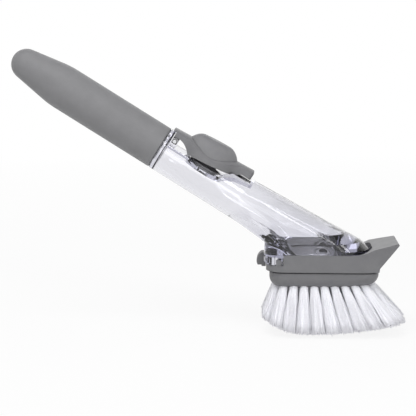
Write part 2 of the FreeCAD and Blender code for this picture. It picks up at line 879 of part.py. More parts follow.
def crown_sketch(body, name):
    """A sketch square to the button's crown, behind the button."""
    behind = size.hook_reach + size.overcut
    return sketch_on(body, name, "XY_Plane", (0, 0, behind), FreeCAD.Vector(0, -1, 0), size.crown_tilt)


def make_button():
    """Pump button: its plan, cut to its side view and to a barrel-shaped crown, with a hollow over the
    dome, a hinge leg at its rear end and a plunger that meets the dome; and the thumb pad on its crown."""
    button = new_body("button_lever")
    along_wand(button)
    plan = sketch_on(button, "button_plan", "YZ_Plane")
    pad(button, outline(plan, button_plan()), 2 * size.tube_radius)
    ahead = -size.toe_reach - size.overcut
    behind = size.hook_reach + size.overcut
    neck_rear = size.leg_radius - size.pivot_below
    under = sketch_on(button, "under_button", "XZ_Plane")
    outline(under, [
        (size.toe_under, ahead),
        (size.toe_under, -size.toe_under_start),
        (skirt_rise(size.ramp_start), -size.ramp_start),
        (skirt_rise(size.neck_front), -size.neck_front, size.neck_arch),
        (size.neck_under, -size.pivot_below - size.ear_radius - size.free_gap),
        (size.neck_under, neck_rear),
        (size.tube_radius + 2 * size.free_gap, neck_rear),
        (size.tube_radius + 2 * size.free_gap, behind),
        (-size.overcut, behind),
        (-size.overcut, ahead),
    ])
    pocket(button, under, 2 * size.button_width, both_ways=True)
    over = crown_sketch(button, "over_crown")
    far = 3 * size.tube_radius
    arc_end, half = crown_arc(size.crown_radius)
    outline(over, [(arc_end, -half), (far, -half), (far, half), (arc_end, half, -size.crown_radius)])
    pocket(button, over, behind - ahead)
    nose = sketch_on(button, "nose", "XZ_Plane")
    nose_top = size.crown_rise + size.toe_reach * sine(size.crown_tilt) / cosine(size.crown_tilt)
    outline(nose, [
        (nose_top, size.nose_round - size.toe_reach, -size.nose_round),
        (nose_top - size.nose_round, -size.toe_reach),
        (nose_top - size.nose_round, ahead),
        (far, ahead),
        (far, size.nose_round - size.toe_reach),
    ])
    pocket(button, nose, 2 * size.button_width, both_ways=True)
    hollow = tilted(button, "cap_hollow", size.button_rise, size.button_middle, size.button_tilt)
    outline(hollow, oval(size.hollow_length, size.hollow_width, size.pad_end_share * size.hollow_width))
    pocket(button, hollow, size.hollow_height, up=True)

    leg = sketch_on(button, "leg", "XZ_Plane")
    rectangle(leg, size.pivot_rise - size.leg_radius, size.neck_under + size.plunger_lap,
              -size.pivot_below - size.leg_radius, -size.pivot_below + size.leg_radius)
    pad(button, leg, size.leg_width, both_ways=True)
    plunger_end = size.pump_seat + size.seat_gap + size.dome_height + size.free_gap
    plunger = sketch_on(button, "plunger", "YZ_Plane", (0, 0, plunger_end))
    circle(plunger, 0, -size.pump_below, size.plunger_radius)
    pad(button, plunger, size.button_rise + size.hollow_height + size.plunger_lap - plunger_end)
    pin_way = sketch_on(button, "button_pin_way", "XZ_Plane")
    pocket(button, circle(pin_way, size.pivot_rise, -size.pivot_below, size.pin_radius + size.pin_play),
           2 * size.leg_width, both_ways=True)

    cushion = new_body("thumb_pad")
    along_wand(cushion)
    sections = []
    for name, rise, length, width in (
        ("base", size.pad_base_rise, size.pad_base_length, size.pad_base_width),
        ("waist", size.pad_waist_rise, size.pad_waist_length, size.pad_waist_width),
        ("brow", size.pad_brow_rise, size.pad_brow_length, size.pad_brow_width),
        ("top", size.pad_top_rise, size.pad_top_length, size.pad_top_width),
    ):
        middle = size.button_middle - size.pad_lean * (rise - size.pad_base_rise)
        section = tilted(cushion, "pad_" + name, rise, middle, size.pad_tilt)
        sections.append(outline(section, oval(length, width, size.pad_end_share * width)))
    loft(cushion, sections)
    seat = crown_sketch(cushion, "pad_seat")
    saddle = size.crown_radius + size.seat_gap
    arc_end, half = crown_arc(saddle)
    outline(seat, [(arc_end, -half, saddle), (arc_end, half), (0, half), (0, -half)])
    pocket(cushion, seat, behind - ahead)
    return [button, cushion]


def grip_line(inset):
    """Half outline of the handle, drawn in by an inset, from its straight part through the bend and the
    taper to the round end, each running smoothly into the next."""
    lean = size.taper_angle
    radius = size.grip_radius - inset
    end = size.grip_end_radius - inset
    centre = size.grip_start + size.grip_length - size.grip_end_radius
    meet_radius = end * cosine(lean)
    meet = centre + end * sine(lean)
    bend_at = meet - (radius - meet_radius) * cosine(lean) / sine(lean)
    bend_round = size.taper_bend * (1 + cosine(lean)) / sine(lean)
    return [
        (radius, bend_at - size.taper_bend, bend_round),
        (radius - size.taper_bend * sine(lean), bend_at + size.taper_bend * cosine(lean)),
        (meet_radius, meet, end),
        (0, centre + end),
    ]


def make_grip():
    """Handle: a hard cup with the screw socket, under a soft skin, and the washer in the socket."""
    washer = turned("sealing_washer", [
        (size.washer_bore, neck_end + size.seat_gap),
        (size.neck_radius, neck_end + size.seat_gap),
        (size.neck_radius, washer_end),
        (size.washer_bore, washer_end),
    ])
    along_wand(washer)
    core_radius = size.grip_radius - size.sleeve_wall
    socket = size.neck_radius + size.socket_room
    core = turned("grip_core", [
        (socket, size.grip_start),
        (core_radius, size.grip_start),
        *grip_line(size.sleeve_wall),
        (0, washer_end + size.seat_gap),
        (socket, washer_end + size.seat_gap),
    ])
    along_wand(core)
    inside = grip_line(size.sleeve_wall - size.seat_gap)
    bend_round = inside[0][2]
    end_round = inside[2][2]
    sleeve = turned("grip_sleeve", [
        (core_radius + size.seat_gap, size.grip_start),
        (size.grip_radius - size.grip_lip, size.grip_start, size.grip_lip),
        (size.grip_radius, size.grip_start + size.grip_lip),
        *grip_line(0),
        (*inside[3], -end_round),
        inside[2][:2],
        (*inside[1], -bend_round),
        inside[0][:2],
    ])
    along_wand(sleeve)
    return [washer, core, sleeve]


def make_shoe():
    """Grey tray that clips under the foot, with the scraper prow at its toe."""
    shoe = new_body("head_shoe")
    half = size.shoe_width / 2
    half_prow = size.prow_width / 2
    prow_front = size.prow_reach + 2 * size.prow_edge
    run = prow_front - size.side_straight
    draw_in = half - half_prow
    sweep = cap_arc(run, draw_in)
    heel_bend = -size.shoe_heel + size.shoe_round
    plan = sketch_on(shoe, "shoe_plan", "XY_Plane", (0, 0, size.shoe_base))
    outline(plan, [
        (heel_bend, -half),
        (size.side_straight, -half, sweep),
        (prow_front, -half_prow),
        (prow_front, half_prow, sweep),
        (size.side_straight, half),
        (heel_bend, half, size.shoe_round),
        (-size.shoe_heel, half - size.shoe_round),
        (-size.shoe_heel, -half + size.shoe_round, size.shoe_round),
    ])
    tall = size.prow_height + size.overcut
    pad(shoe, plan, tall - size.shoe_base)

    # side view of what is cut away: over the rim, over the prow and ahead of its raked face
    bend_run = size.tray_front - size.rim_bend
    bend_rise = size.prow_inner_height - size.foot_seat
    bend = cap_arc(bend_run, bend_rise)
    above = sketch_on(shoe, "above_shoe", "XZ_Plane")
    beyond = prow_front + size.overcut
    behind = -size.shoe_heel - size.overcut
    outline(above, [
        (behind, size.foot_seat),
        (size.rim_bend, size.foot_seat, bend),
        (size.tray_front, size.prow_inner_height),
        (size.prow_reach, size.prow_height, -size.prow_edge),
        (size.prow_reach + 0.6 * size.prow_edge, size.prow_height - 1.1 * size.prow_edge),
        (size.prow_foot, size.shoe_base + size.shoe_floor),
        (size.prow_foot - size.prow_edge, size.shoe_base - size.overcut),
        (beyond, size.shoe_base - size.overcut),
        (beyond, tall + size.overcut),
        (behind, tall + size.overcut),
    ])
    pocket(shoe, above, 4 * half, both_ways=True)

    tray = sketch_on(shoe, "tray", "XY_Plane", (0, 0, tray_floor))
    outline(tray, rounded_box(
        size.shoe_heel - size.shoe_wall, size.tray_front, size.shoe_width - 2 * size.shoe_wall,
        size.shoe_round - size.shoe_wall, size.tray_front_round))
    pocket(shoe, tray, tall, up=True)

    notch = sketch_on(shoe, "heel_notch", "XY_Plane", (0, 0, notch_floor))
    rectangle(notch, behind, -size.notch_front, -size.shoe_width, size.shoe_width)
    pocket(shoe, notch, tall, up=True)
    post_near = plug_half + 2 * size.free_gap - size.post_sink
    for side in (-1, 1):
        name = "post" + ("_near" if side < 0 else "_far")
        post = sketch_on(shoe, name, "XY_Plane", (0, 0, notch_floor - size.post_sink))
        near = side * post_near
        far = side * (post_near + size.post_width)
        low, high = (far, near) if side < 0 else (near, far)
        rectangle(post, post_front - size.post_length, post_front, low, high)
        pad(shoe, post, size.post_height + size.post_sink)
    hole = sketch_on(shoe, "soap_way", "XY_Plane", (0, 0, size.shoe_base))
    pocket(shoe, circle(hole, 0, 0, size.soap_hole), size.shoe_floor, up=True)
    return shoe


def make_latch():
    """Spring tongue at the heel: a leaf behind the clear skirt, a barb in its window and a thumb knob."""
    latch = new_body("latch_tongue")
    leaf_inner = -size.foot_heel - size.leaf_gap
    leaf_outer = leaf_inner - size.leaf_thickness
    knob_height = size.knob_top - size.knob_bottom
    side = sketch_on(latch, "latch_side", "XZ_Plane")
    outline(side, [
        (leaf_outer, size.latch_root),
        (-size.shoe_heel - size.free_gap, size.latch_root),
        (-size.shoe_heel - size.free_gap, size.latch_root + size.root_height),
        (leaf_inner, size.latch_root + size.root_height),
        (leaf_inner, size.knob_top),
        (leaf_outer, size.knob_top, 0.75 * knob_height),
        (leaf_outer - size.knob_reach, size.knob_bottom + 0.12 * knob_height),
        (leaf_outer - 0.85 * size.knob_reach, size.knob_bottom),
        (leaf_outer, size.knob_bottom),
    ])
    pad(latch, side, size.latch_width, both_ways=True)
    barb = sketch_on(latch, "barb", "XZ_Plane")
    outline(barb, [
        (leaf_outer, size.barb_bottom),
        (-size.foot_heel + size.barb_reach, size.barb_bottom),
        (leaf_outer, size.barb_bottom + size.barb_height),
    ])
    pad(latch, barb, size.barb_width, both_ways=True)
    return latch


class Tuft:
    """One bristle tuft: where its hole is, which way and how far it leans, and how high its tip is
    trimmed over the floor."""

    def __init__(self, x, y):
        self.x = x
        self.y = y
        half_width = SIZES["shoe_width"] / 2
        ahead = x - SIZES["upright_at"]
        if ahead > 0:
            share = ahead / (SIZES["block_front"] - SIZES["upright_at"])
            lean_x = SIZES["toe_lean"] * share
            self.trim = SIZES["toe_trim"] * share ** 2
        else:
            share = ahead / (SIZES["block_heel"] + SIZES["upright_at"])
            lean_x = SIZES["heel_lean"] * share
            self.trim = SIZES["heel_trim"] * share ** 2
        lean_y = SIZES["side_lean"] * y / half_width
        slope_x = math.tan(math.radians(lean_x))
        slope_y = math.tan(math.radians(lean_y))
        self.way = FreeCAD.Vector(slope_x, slope_y, -1).normalize()
        self.lean = math.acos(-self.way.z)


def tuft_ring(margin, count, half_turn=0.0):
    """Even places along a rounded ring that keeps a margin from the edge of the block."""
    heel = margin - SIZES["block_heel"]
    front = SIZES["block_front"] - margin
    side = SIZES["shoe_width"] / 2 - SIZES["block_inset"] - margin
    corner = min(side, SIZES["ring_corner"])
    plan = [(front, -side, 270), (front, side, 0), (heel, side, 90), (heel, -side, 180)]
    arcs = []
    for x, y, turn in plan:
        centre = FreeCAD.Vector(x - math.copysign(corner, x), y - math.copysign(corner, y), 0)
        arcs.append(Part.makeCircle(corner, centre, FreeCAD.Vector(0, 0, 1), turn, turn + 90))
    edges = []
    for index, arc in enumerate(arcs):
        before = arcs[index - 1]
        start = before.valueAt(before.LastParameter)
        stop = arc.valueAt(arc.FirstParameter)
        edges.append(Part.LineSegment(start, stop).toShape())
        edges.append(arc)
    total = sum(edge.Length for edge in edges)
    tufts = []
    for index in range(count):
        distance = (index + half_turn) * total / count
        for edge in edges:
            if distance <= edge.Length:
                break
            distance -= edge.Length
        point = edge.valueAt(edge.getParameterByLength(distance))
        tufts.append(Tuft(point.x, point.y))
    return tufts


def tuft_row(count):
    """The upright middle row, which the brush stands on."""
    tufts = []
    for index in range(count):
        tuft = Tuft((index - (count - 1) / 2) * SIZES["row_step"], 0)
        tuft.way = FreeCAD.Vector(0, 0, -1)
        tuft.lean = 0
        tuft.trim = 0
        tufts.append(tuft)
    return tufts


def tuft_shape(tuft):
    """Straight root in the hole and just past its mouth, then a flare to the trimmed tip, which stays
    clear of the floor; a short tuft flares less."""
    bottom = SIZES["block_bottom"]
    mouth = FreeCAD.Vector(tuft.x, tuft.y, bottom)
    radius = SIZES["tuft_radius"] - SIZES["seat_gap"]
    length = bottom
    if tuft.lean > 0:
        reach = bottom - tuft.trim - SIZES["free_gap"] - SIZES["tuft_tip_radius"] * math.sin(tuft.lean)
        length = min(bottom, reach / math.cos(tuft.lean))
    straight = radius * math.tan(tuft.lean)
    tip_radius = radius + (SIZES["tuft_tip_radius"] - radius) * length / bottom
    root_top = mouth - tuft.way * root_length()
    root = Part.makeCylinder(radius, root_length() + straight, root_top, tuft.way)
    flare = Part.makeCone(radius, tip_radius, length - straight, mouth + tuft.way * straight, tuft.way)
    return root.fuse(flare)


def root_length():
    return SIZES["tuft_hole_depth"] - SIZES["staple_height"] - 2 * SIZES["seat_gap"]


def staple_shape(tuft):
    """Flat wire anchor at the blind end of a tuft's hole."""
    wide = 1.6 * SIZES["tuft_radius"]
    thick = SIZES["staple_thickness"]
    anchor = Part.makeBox(wide, thick, SIZES["staple_height"], FreeCAD.Vector(-wide / 2, -thick / 2, 0))
    mouth = FreeCAD.Vector(tuft.x, tuft.y, SIZES["block_bottom"])
    start = mouth - tuft.way * (root_length() + SIZES["seat_gap"])
    anchor.Placement = FreeCAD.Placement(start, FreeCAD.Rotation(FreeCAD.Vector(0, 0, 1), -tuft.way))
    return anchor


def make_bristles():
    """Block with its tuft holes and soap holes, the tufts by ring, and their staples."""
    block = new_body("block_blank")
    top = size.shoe_base - size.seat_gap
    width = size.shoe_width - 2 * size.block_inset
    corner = size.shoe_round - size.block_inset
    plan = sketch_on(block, "block_plan", "XY_Plane", (0, 0, size.block_bottom))
    outline(plan, rounded_box(size.block_heel, size.block_front, width, corner, corner))
    pad(block, plan, top - size.shadow_gap - size.block_bottom)
    rocker = sketch_on(block, "rocker", "XZ_Plane")
    outline(rocker, [
        (size.rocker_start, size.block_bottom - size.overcut),
        (size.block_front, size.block_bottom - size.overcut),
        (size.block_front, size.block_bottom + size.rocker_rise,
         -cap_arc(size.block_front - size.rocker_start, size.rocker_rise)),
        (size.rocker_start, size.block_bottom),
    ])
    body = pocket(block, rocker, 2 * size.shoe_width, both_ways=True)
    lip = SIZES["block_bottom"] + SIZES["rocker_rise"]
    low = []
    for number, edge in enumerate(body.Shape.Edges, start=1):
        across = all(math.isclose(vertex.X, SIZES["rocker_start"]) for vertex in edge.Vertexes)
        if edge.CenterOfMass.z <= lip and not across:
            low.append(f"Edge{number}")
    bottom_round = block.newObject("PartDesign::Fillet", "block_edge")
    bottom_round.Base = (body, low)
    bind(bottom_round, "Radius", size.block_round)
    inset = size.shadow_inset
    neck = sketch_on(block, "block_neck", "XY_Plane", (0, 0, top - size.shadow_gap))
    outline(neck, rounded_box(
        size.block_heel - inset, size.block_front - inset, width - 2 * inset, corner - inset, corner - inset))
    pad(block, neck, size.shadow_gap)
    well = sketch_on(block, "soap_well", "XY_Plane", (0, 0, top - size.well_depth))
    pocket(block, circle(well, 0, 0, size.well_radius), 2 * size.well_depth, up=True)
    drips = sketch_on(block, "drips", "XY_Plane", (0, 0, size.block_bottom))
    for side in (-1, 1):
        circle(drips, 0, side * size.drip_offset, size.drip_hole)
    pocket(block, drips, top - size.block_bottom, up=True)

    rings = {
        "tufts_outer": tuft_ring(SIZES["ring_margin"], OUTER_TUFTS, 0.5),
        "tufts_middle": tuft_ring(SIZES["ring_margin"] + SIZES["ring_step"], MIDDLE_TUFTS),
        "tufts_centre": tuft_row(CENTRE_TUFTS),
    }
    every_tuft = [tuft for ring in rings.values() for tuft in ring]
    below = SIZES["overcut"]
    drills = []
    for tuft in every_tuft:
        mouth = FreeCAD.Vector(tuft.x, tuft.y, SIZES["block_bottom"])
        drills.append(Part.makeCylinder(
            SIZES["tuft_radius"], SIZES["tuft_hole_depth"] + below, mouth + tuft.way * below, -tuft.way))
    holes = doc.addObject("Part::Feature", "tuft_holes")
    holes.Shape = Part.makeCompound(drills)
    drilled = doc.addObject("Part::Cut", "tuft_block")
    drilled.Base = block
    drilled.Tool = holes
    drilled.Label = "tuft_block"

    pieces = [drilled]
    for label, tufts in rings.items():
        ring = doc.addObject("Part::Feature", label)
        ring.Label = label
        ring.Shape = Part.makeCompound([tuft_shape(tuft) for tuft in tufts])
        pieces.append(ring)
    staples = doc.addObject("Part::Feature", "tuft_staples")
    staples.Label = "tuft_staples"
    staples.Shape = Part.makeCompound([staple_shape(tuft) for tuft in every_tuft])
    pieces.append(staples)
    return pieces


pieces = [make_chamber(), make_seal(), make_pin(), make_shoe(), make_latch()]
pieces += make_outlet() + make_pump() + make_button() + make_grip() + make_bristles()
doc.recompute()

for thing in doc.Objects:
    if {"Invalid", "Error"} & set(thing.State):
        raise RuntimeError(f"{thing.Label} failed: {thing.State}")
for piece in pieces:
    if piece.Shape.isNull() or not piece.Shape.isValid() or not piece.Shape.Solids:
        raise RuntimeError(f"{piece.Label} has no valid solid")

os.makedirs("parts", exist_ok=True)
for piece in pieces:
    piece.Shape.exportStep(f"parts/{piece.Label}.step")
    box = piece.Shape.BoundBox
    print(f"{piece.Label}: {len(piece.Shape.Solids)} solids, {piece.Shape.Volume / 1000:.2f} cm3,"
          f" X {box.XMin:.1f} to {box.XMax:.1f}, Y {box.YMin:.1f} to {box.YMax:.1f},"
          f" Z {box.ZMin:.1f} to {box.ZMax:.1f}")
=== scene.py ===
import math

import bpy
import numpy as np
from mathutils import Matrix, Vector


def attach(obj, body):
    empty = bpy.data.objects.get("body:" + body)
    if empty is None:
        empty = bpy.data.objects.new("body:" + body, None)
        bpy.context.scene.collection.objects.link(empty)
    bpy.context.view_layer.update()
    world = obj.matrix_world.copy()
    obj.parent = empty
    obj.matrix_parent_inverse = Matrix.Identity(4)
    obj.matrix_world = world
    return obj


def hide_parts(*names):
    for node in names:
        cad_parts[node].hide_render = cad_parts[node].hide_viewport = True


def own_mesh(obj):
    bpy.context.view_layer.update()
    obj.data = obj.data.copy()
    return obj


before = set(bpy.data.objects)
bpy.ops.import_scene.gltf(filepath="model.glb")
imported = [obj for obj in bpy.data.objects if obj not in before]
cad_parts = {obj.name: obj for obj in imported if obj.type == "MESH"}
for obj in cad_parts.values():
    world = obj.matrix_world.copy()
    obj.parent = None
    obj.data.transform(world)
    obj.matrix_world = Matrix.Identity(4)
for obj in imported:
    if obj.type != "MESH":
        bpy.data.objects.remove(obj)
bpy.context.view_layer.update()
MM = 0.001
SIDEWAYS = np.array([0.0, 1.0, 0.0])


def linear(hex_colour):
    """An sRGB hex colour as linear red, green, blue and alpha."""
    parts = [int(hex_colour[i:i + 2], 16) / 255 for i in (0, 2, 4)]
    return [c / 12.92 if c <= 0.04045 else ((c + 0.055) / 1.055) ** 2.4 for c in parts] + [1.0]


def per_mm(size_mm):
    """Scale of a noise on Object coordinates, in metres, whose features are about size_mm wide."""
    return 1000 / size_mm


def put(tree, kind, sockets=None, **settings):
    """Add a node. Settings are the node's own choices; a socket gets a plain value, or a tuple of a
    node and the name of its output to be linked from."""
    node = tree.nodes.new(kind)
    for name, value in settings.items():
        setattr(node, name, value)
    for name, value in (sockets or {}).items():
        if isinstance(value, tuple):
            tree.links.new(value[0].outputs[value[1]], node.inputs[name])
        else:
            node.inputs[name].default_value = value
    return node


def new_material(name, sockets):
    """A node material whose one Principled shader has these sockets; gives the material, its tree, its
    shader and the Object coordinates that its patterns read."""
    material = bpy.data.materials.new(name)
    material.use_nodes = True
    tree = material.node_tree
    shader = tree.nodes["Principled BSDF"]
    for socket, value in sockets.items():
        shader.inputs[socket].default_value = value
    return material, tree, shader, put(tree, "ShaderNodeTexCoord")


# Most values of a noise lie between these two, so tones and roughness are spread over them.
NOISE_LOW, NOISE_HIGH = 0.3, 0.7
ROUGHNESS_DRIFT = 0.05
# Painted shade in creases: how far the occlusion looks for another surface, and the dark grey that the
# colour is darkened towards.
CREASE_REACH_MM = 1.6
CREASE_SHADE_GREY = "2e2e30"


def moulded(name, dark, light, roughness, mottle_mm, grain_mm, grain_depth_mm, crease=0.0, **sockets):
    """Moulded plastic or rubber: a broad faint mottle between two close colours, a roughness that
    drifts with it, the fine grain that the mould's surface leaves, as a bump, and painted shade: a share
    of darkening, read from ambient occlusion, in creases close to another surface."""
    material, tree, shader, place = new_material(name, {"Roughness": roughness} | sockets)
    mottle = put(tree, "ShaderNodeTexNoise", {
        "Vector": (place, "Object"), "Scale": per_mm(mottle_mm), "Detail": 4.0, "Roughness": 0.6})
    colour = put(tree, "ShaderNodeValToRGB", {"Fac": (mottle, "Fac")})
    colour.color_ramp.elements[0].position = NOISE_LOW
    colour.color_ramp.elements[0].color = linear(dark)
    colour.color_ramp.elements[1].position = NOISE_HIGH
    colour.color_ramp.elements[1].color = linear(light)
    # Painted shade: where ambient occlusion finds another surface close by, the colour is mixed towards a
    # dark grey.
    if crease:
        open_air = put(tree, "ShaderNodeAmbientOcclusion", {"Distance": CREASE_REACH_MM * MM}, samples=6)
        painted_shade = put(tree, "ShaderNodeMapRange", {
            "Value": (open_air, "AO"), "From Min": 0.5, "From Max": 0.97,
            "To Min": crease, "To Max": 0.0})
        colour = put(tree, "ShaderNodeMix", {
            "Factor": (painted_shade, "Result"), "A": (colour, "Color"), "B": linear(CREASE_SHADE_GREY)},
            data_type="RGBA")
    drift = put(tree, "ShaderNodeMapRange", {
        "Value": (mottle, "Fac"), "From Min": NOISE_LOW, "From Max": NOISE_HIGH,
        "To Min": roughness - ROUGHNESS_DRIFT, "To Max": roughness + ROUGHNESS_DRIFT})
    grain = put(tree, "ShaderNodeTexNoise", {
        "Vector": (place, "Object"), "Scale": per_mm(grain_mm), "Detail": 2.0, "Roughness": 0.5})
    relief = put(tree, "ShaderNodeBump", {
        "Height": (grain, "Fac"), "Strength": 0.5, "Distance": grain_depth_mm * MM})
    tree.links.new(colour.outputs["Result" if crease else "Color"], shader.inputs["Base Color"])
    tree.links.new(drift.outputs["Result"], shader.inputs["Roughness"])
    tree.links.new(relief.outputs["Normal"], shader.inputs["Normal"])
    return material


# Soft-touch TPE over the handle: matt, with a fine eggshell grain and a trace of dusty sheen.
handle_tpe = moulded(
    "soft_touch_tpe", "78787a", "7f7f81", roughness=0.62, mottle_mm=9.0, grain_mm=0.55,
    grain_depth_mm=0.05, **{"Sheen Weight": 0.12, "Sheen Roughness": 0.5, "IOR": 1.48})
# The thumb pad is the same soft rubber, a little smoother where it is pressed.
# Painted shade darkens the pad where it meets the lever.
pad_tpe = moulded(
    "thumb_pad_tpe", "737376", "7a7a7c", roughness=0.55, mottle_mm=6.0, grain_mm=0.5,
    grain_depth_mm=0.04, crease=0.75, **{"Sheen Weight": 0.1, "Sheen Roughness": 0.5, "IOR": 1.48})
# Satin polypropylene of button, head and tuft block: a spark-eroded mould leaves a fine even grain and
# a broad dull gloss.
# Painted shade darkens the button's creases.
button_pp = moulded(
    "satin_polypropylene", "717174", "78787a", roughness=0.42, mottle_mm=7.0, grain_mm=0.4,
    grain_depth_mm=0.03, crease=0.75, **{"IOR": 1.49})
# Head and tuft block carry a faint painted shade in their creases, such as the seam between shoe and block.
head_pp = moulded(
    "head_polypropylene", "6a6a6d", "717173", roughness=0.44, mottle_mm=8.0, grain_mm=0.45,
    grain_depth_mm=0.03, crease=0.1, **{"IOR": 1.49})
block_pp = moulded(
    "block_polypropylene", "6a6a6d", "717173", roughness=0.48, mottle_mm=6.0, grain_mm=0.45,
    grain_depth_mm=0.03, crease=0.1, **{"IOR": 1.49})
# The hard handle cup under the skin: grey polypropylene, slightly glossy.
core_pp = moulded(
    "core_polypropylene", "6e6e71", "757578", roughness=0.35, mottle_mm=5.0, grain_mm=0.6,
    grain_depth_mm=0.02, **{"IOR": 1.49})
# Grey silicone of the pump bulb: smooth, waxy, with dust in its pores.
bulb_silicone = moulded(
    "grey_silicone", "6c6c70", "7a7a7e", roughness=0.45, mottle_mm=3.0, grain_mm=0.4,
    grain_depth_mm=0.03, **{"IOR": 1.41})
# Nitrile rubber of the washer and the shoulder seal: black and dull.
washer_rubber = moulded(
    "nitrile_rubber", "2a2a2c", "363639", roughness=0.6, mottle_mm=2.0, grain_mm=0.35,
    grain_depth_mm=0.03, **{"IOR": 1.5})
# Clear silicone of the slit valve: milky, with a soft gloss.
valve_silicone = moulded(
    "milky_silicone", "d4d4d8", "e2e2e6", roughness=0.4, mottle_mm=2.0, grain_mm=0.4,
    grain_depth_mm=0.02, **{"IOR": 1.41, "Transmission Weight": 0.35})
# Acetal rings that hold the pump bulb and the valve: grey, hard and slick.
ring_acetal = moulded(
    "acetal_ring", "707074", "7e7e82", roughness=0.35, mottle_mm=2.5, grain_mm=0.4,
    grain_depth_mm=0.01, **{"IOR": 1.48})

# Drawn stainless wire: fine scratches, a soft metal gloss.
wire_steel, tree, shader, place = new_material("stainless_wire", {"Metallic": 1.0})
scratches = put(tree, "ShaderNodeTexNoise", {
    "Vector": (place, "Object"), "Scale": per_mm(0.3), "Detail": 3.0})
steel_tone = put(tree, "ShaderNodeValToRGB", {"Fac": (scratches, "Fac")})
steel_tone.color_ramp.elements[0].color = linear("a8a9ac")
steel_tone.color_ramp.elements[1].color = linear("cfd0d2")
dulled = put(tree, "ShaderNodeMapRange", {"Value": (scratches, "Fac"), "To Min": 0.2, "To Max": 0.42})
tree.links.new(steel_tone.outputs["Color"], shader.inputs["Base Color"])
tree.links.new(dulled.outputs["Result"], shader.inputs["Roughness"])


def clear_plastic(name, flow_mm, flow_depth_mm):
    """Clear styrene-acrylonitrile: polished mould, so a sharp gloss; the walls show faint flow waves,
    and their cut edges and long sight lines turn a cool grey as the plastic takes up light."""
    material, tree, shader, place = new_material(name, {
        "Base Color": linear("fafafc"), "Transmission Weight": 1.0, "IOR": 1.57})
    flow = put(tree, "ShaderNodeTexNoise", {
        "Vector": (place, "Object"), "Scale": per_mm(flow_mm), "Detail": 1.0, "Roughness": 0.4})
    relief = put(tree, "ShaderNodeBump", {
        "Height": (flow, "Fac"), "Strength": 0.3, "Distance": flow_depth_mm * MM})
    haze = put(tree, "ShaderNodeMapRange", {"Value": (flow, "Fac"), "To Min": 0.015, "To Max": 0.05})
    tree.links.new(relief.outputs["Normal"], shader.inputs["Normal"])
    tree.links.new(haze.outputs["Result"], shader.inputs["Roughness"])
    absorbed = put(tree, "ShaderNodeVolumeAbsorption", {"Color": linear("e5e5eb"), "Density": 118.0})
    tree.links.new(absorbed.outputs["Volume"], tree.nodes["Material Output"].inputs["Volume"])
    return material


clear_san = clear_plastic("clear_styrene_acrylonitrile", flow_mm=11.0, flow_depth_mm=0.03)
clear_plate = clear_plastic("clear_foot_plate", flow_mm=8.0, flow_depth_mm=0.03)

# Nylon bristle: extruded filament, bright white with a trace of blue, waxy, each a shade from the next.
nylon, tree, shader, place = new_material("nylon_bristle", {"Roughness": 0.5, "IOR": 1.53})
strand = put(tree, "ShaderNodeTexNoise", {
    "Vector": (place, "Object"), "Scale": per_mm(0.9), "Detail": 2.0, "Roughness": 0.6})
strand_tone = put(tree, "ShaderNodeValToRGB", {"Fac": (strand, "Fac")})
strand_tone.color_ramp.elements[0].position = NOISE_LOW
strand_tone.color_ramp.elements[0].color = linear("f1f1f7")
strand_tone.color_ramp.elements[1].position = NOISE_HIGH
strand_tone.color_ramp.elements[1].color = linear("fbfbff")
tree.links.new(strand_tone.outputs["Color"], shader.inputs["Base Color"])

looks = {
    "chamber_body": clear_san, "foot_plate": clear_plate,
    "pump_dome": bulb_silicone, "dome_ring": ring_acetal,
    "sealing_washer": washer_rubber, "shoulder_seal": washer_rubber,
    "slit_valve": valve_silicone, "valve_ring": ring_acetal,
    "grip_sleeve": handle_tpe, "grip_core": core_pp,
    "button_lever": button_pp, "thumb_pad": pad_tpe,
    "head_shoe": head_pp, "tuft_block": block_pp, "latch_tongue": head_pp,
    "tufts_outer": nylon, "tufts_middle": nylon, "tufts_centre": nylon,
    "pivot_pin": wire_steel, "tuft_staples": wire_steel,
}
for name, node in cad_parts.items():
    node.data.materials.clear()
    node.data.materials.append(looks[name])


def add_piece(name, points, faces, material):
    """A mesh piece from an array of points in metres and a list of faces."""
    mesh = bpy.data.meshes.new(name)
    mesh.from_pydata(points, [], faces)
    mesh.polygons.foreach_set("use_smooth", np.ones(len(mesh.polygons), dtype=bool))
    mesh.materials.append(material)
    piece = bpy.data.objects.new(name, mesh)
    bpy.context.scene.collection.objects.link(piece)
    return piece


def around(angle, first, second):
    """Ways at these angles round an axis: the cosine of the angle along the first way square to the
    axis, and its sine along the second."""
    return np.cos(angle)[..., None] * first + np.sin(angle)[..., None] * second


def tube_faces(tubes, rows, sides):
    """Faces of closed tubes whose points run round each ring, ring after ring, tube after tube: four
    corners for each step along and round, and one cap at each end."""
    base = np.arange(tubes)[:, None, None] * rows * sides
    row = np.arange(rows - 1)[None, :, None] * sides
    side = np.arange(sides)[None, None, :]
    after = (side + 1) % sides
    walls = np.stack([base + row + side, base + row + after,
                      base + row + sides + after, base + row + sides + side], axis=-1).reshape(-1, 4)
    ends = base[:, 0] + (rows - 1) * sides + np.arange(sides)
    starts = base[:, 0] + np.arange(sides)[::-1]
    return walls.tolist() + ends.tolist() + starts.tolist()


# Bristles. The places and leans are those of the tuft holes, in millimetres and degrees: the block's
# underside, its reach to heel, toe and sides, the place of the upright tufts, and the lean at each end.
BLOCK_BOTTOM = 30.5
BLOCK_HEEL, BLOCK_FRONT, BLOCK_HALF = 35.3, 35.2, 20.9
RING_CORNER = 7.5
UPRIGHT_AT = -12.0
LEAN_TOE, LEAN_HEEL = 42, 18
LEAN_SIDE, LEAN_SIDE_AT = 24, 22
# Radius of a tuft at its hole and at its tips, and the power by which it grows between them.
TUFT_ROOT, TUFT_TIP, FLARE_POWER = 2.3, 5.0, 0.8
# Strands of a tuft, drawn thicker than the real filaments so that they show, and how they stray.
STRANDS, STRAND, STRAND_SIDES = 150, 0.45, 4
STRAND_STATIONS = np.array([-0.17, 0.08, 0.3, 0.55, 0.78, 1.0])
SPIRAL_POWER = 0.3
TIP_STRAY = 0.88, 1.08
LENGTH_STRAY = -0.9, 0.05
SWAY = 0.3
